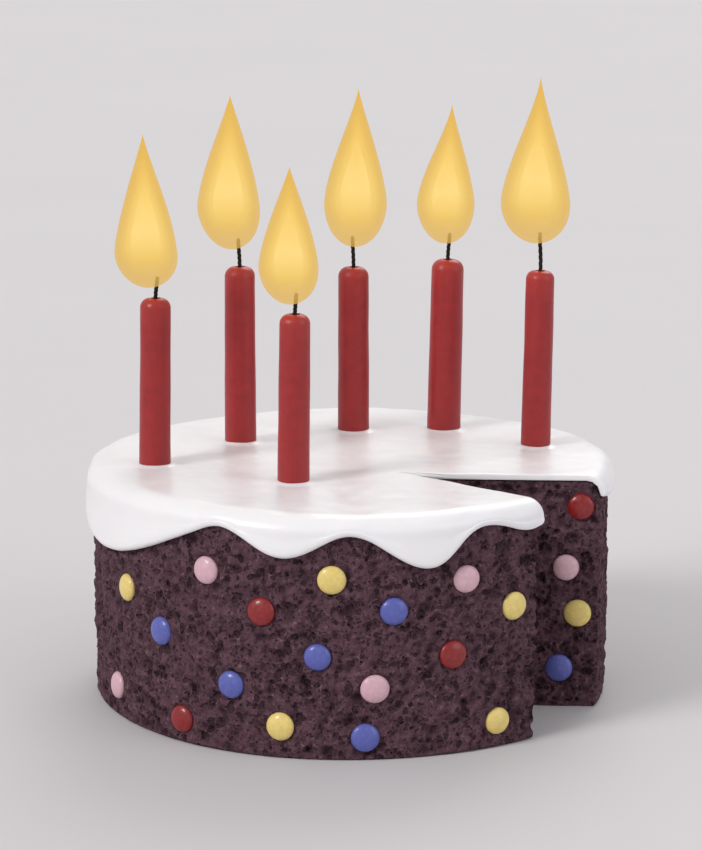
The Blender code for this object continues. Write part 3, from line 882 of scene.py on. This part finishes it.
def make_candle(number, candle, material):
    """A thick party candle: a domed top with a small melted hollow, and slightly uneven sides."""
    radius, height = candle[2] / 2, candle[3]
    bore = WICK_RADIUS + GAP
    hollow = height - CANDLE_HOLLOW
    dome = radius - CANDLE_RIM
    body = height - dome
    steps = 26
    foot = radius * CANDLE_FOOT_SHARE
    profile = [(0, -CANDLE_DEPTH), (foot, -CANDLE_DEPTH), (foot, -CANDLE_DEPTH + 0.001)]
    for step in range(steps + 1):
        share = step / steps
        profile.append((radius * (1 + CANDLE_TAPER * (1 - share)), body * share))
    for turn in range(9, 91, 9):
        angle = math.radians(turn)
        profile.append((CANDLE_RIM + dome * math.cos(angle), body + dome * math.sin(angle)))
    for step in range(1, 9):
        share = step / 8
        sunk = CANDLE_HOLLOW * smoothstep(0, 1, share)
        profile.append((CANDLE_RIM + (bore - CANDLE_RIM) * share, height - sunk))
    profile += [(bore, hollow - 0.0008), (bore, hollow - WICK_SOCKET), (0, hollow - WICK_SOCKET)]

    def uneven(point):
        """Moves a point of the candle's surface in or out a little, and more so near its top."""
        around = Vector((point.x, point.y, 0)).normalized()
        wave = noise.noise(Vector((around.x * 1.2, around.y * 1.2, point.z * 60 + 9 * number)))
        top = smoothstep(height - 0.006, height, point.z)
        swell = CANDLE_UNEVENNESS * wave * (1 + 1.2 * top)
        return point + around * swell * smoothstep(0.0, 0.003, math.hypot(point.x, point.y))

    shape = turned(profile, CANDLE_SIDES, uneven)
    shape.transform(candle_frame(candle))
    add_piece(f"candle_{number}_wax", shape, material, f"candle_{number}")


def make_wick(number, candle, flame, material):
    """Three charred strands twisted round each other, which bend a little inside the flame."""
    height, foot = candle[3], flame[0]
    bottom = height - CANDLE_HOLLOW - WICK_SOCKET + GAP
    length = height + foot + WICK_IN_FLAME - bottom
    steps = 60
    sides = 10
    bend = WICK_BENDS[number - 1]
    shape = bmesh.new()
    for turn in (0, 120, 240):
        rows = []
        for step in range(steps + 1):
            share = step / steps
            centre = polar(STRAND_DISTANCE, turn + STRAND_TURN * share, bottom + length * share)
            centre.x += bend * smoothstep(0.3, 1.0, share)
            size = STRAND_RADIUS * (1 - 0.35 * smoothstep(0.9, 1.0, share))
            size *= 1 + 0.12 * noise.noise(centre * 2500)
            rows.append([centre + polar(size, 360 * i / sides, 0) for i in range(sides)])
        part = lofted(rows)
        finish_shape(part)
        mesh = bpy.data.meshes.new("strand")
        part.to_mesh(mesh)
        part.free()
        shape.from_mesh(mesh)
        bpy.data.meshes.remove(mesh)
    shape.transform(candle_frame(candle))
    add_piece(f"wick_{number}_cotton", shape, material, f"wick_{number}")


def flame_outline(share, belly_share, taper):
    """Half width of a flame, as a share of its greatest: round at its foot, drawn out to its tip."""
    if share < belly_share:
        return math.sqrt(1 - (1 - share / belly_share) ** 2)
    above = (share - belly_share) / (1 - belly_share)
    return (1 - above**FLAME_ROUNDNESS) ** taper


def flame_sway(share, belly, tip):
    """How far the flame's middle line lies from the wick's at this share of its height."""
    return belly * (0.7 + 0.3 * smoothstep(0.0, 0.3, share)) + (tip - belly) * smoothstep(0.3, 1.0, share)


def flame_shape(candle, flame, layer):
    """One layer of a flame: its skin, or the same drawn in to a share of its width and height."""
    foot, length, width, belly, tip, belly_share, taper = flame
    inset, start, end = layer
    bottom = candle[3] + foot
    steps = 48
    profile = []
    for step in range(steps + 1):
        own = 0.5 - 0.5 * math.cos(math.pi * step / steps)
        share = start + (end - start) * own
        radius = flame_outline(own, belly_share, taper) * width / 2 * inset
        profile.append((radius, bottom + length * share))
    profile[0] = (0, profile[0][1])
    profile[-1] = (0, profile[-1][1])

    def sway(point):
        """Moves a point sideways with the flame's middle line."""
        share = (point.z - bottom) / length
        return point + Vector((flame_sway(min(1, max(0, share)), belly, tip), 0, 0))

    shape = turned(profile, FLAME_SIDES, sway)
    shape.transform(candle_frame(candle))
    return shape


def make_flame(number, candle, flame, materials):
    """A flame in layers, each inside the one before."""
    for (name, layer), material in zip(FLAME_LAYERS.items(), materials):
        shape = flame_shape(candle, flame, layer)
        add_piece(f"flame_{number}_{name}", shape, material, f"flame_{number}")


def make_floor():
    """A plain pale floor, out of sight at its edge."""
    material, tree, shader = new_material("pale floor")
    clouds = remap(tree, object_noise(tree, 3, 3), 0.3, 0.7)
    paler = tuple(part * 1.02 for part in FLOOR_COLOUR)
    tree.links.new(mix_colours(tree, clouds, FLOOR_COLOUR, paler), shader.inputs["Base Color"])
    shader.inputs["Roughness"].default_value = 0.75
    shader.inputs["Specular IOR Level"].default_value = 0.2
    shape = bmesh.new()
    bmesh.ops.create_circle(shape, cap_ends=True, radius=FLOOR_RADIUS, segments=96)
    mesh = bpy.data.meshes.new("floor")
    shape.to_mesh(mesh)
    shape.free()
    mesh.materials.append(material)
    floor = bpy.data.objects.new("floor", mesh)
    bpy.context.scene.collection.objects.link(floor)
    floor.location.z = -FLOOR_DROP


def aim(obj, target):
    obj.rotation_euler = (Vector(target) - obj.location).to_track_quat("-Z", "Y").to_euler()


def make_camera():
    data = bpy.data.cameras.new("camera")
    data.lens = CAMERA_LENS
    data.sensor_width = 36.0
    camera = bpy.data.objects.new("camera", data)
    bpy.context.scene.collection.objects.link(camera)
    camera.location = CAMERA_PLACE
    aim(camera, CAMERA_AIM)
    bpy.context.scene.camera = camera


def make_lights():
    for name, (origin, width, strength, colour) in LIGHTS.items():
        data = bpy.data.lights.new(name, "SUN")
        data.angle = math.radians(width)
        data.energy = strength
        data.color = colour
        light = bpy.data.objects.new(name, data)
        bpy.context.scene.collection.objects.link(light)
        light.location = origin
        aim(light, (0, 0, 0))
    world = bpy.data.worlds.new("studio")
    world.use_nodes = True
    world.node_tree.nodes["Background"].inputs["Color"].default_value = WORLD_COLOUR
    world.node_tree.nodes["Background"].inputs["Strength"].default_value = WORLD_STRENGTH
    bpy.context.scene.world = world
    bpy.context.scene.view_settings.view_transform = "Standard"


def main():
    noise.seed_set(NOISE_SEED)
    sweets = all_sweets()
    make_sponge(sweets)
    make_sweets(sweets)
    make_icing()
    wax, cotton, gas = wax_material(), wick_material(), flame_materials()
    for number, (candle, flame) in enumerate(zip(CANDLES, FLAMES), start=1):
        make_candle(number, candle, wax)
        make_wick(number, candle, flame, cotton)
        make_flame(number, candle, flame, gas)
    make_floor()
    make_lights()
    make_camera()


main()
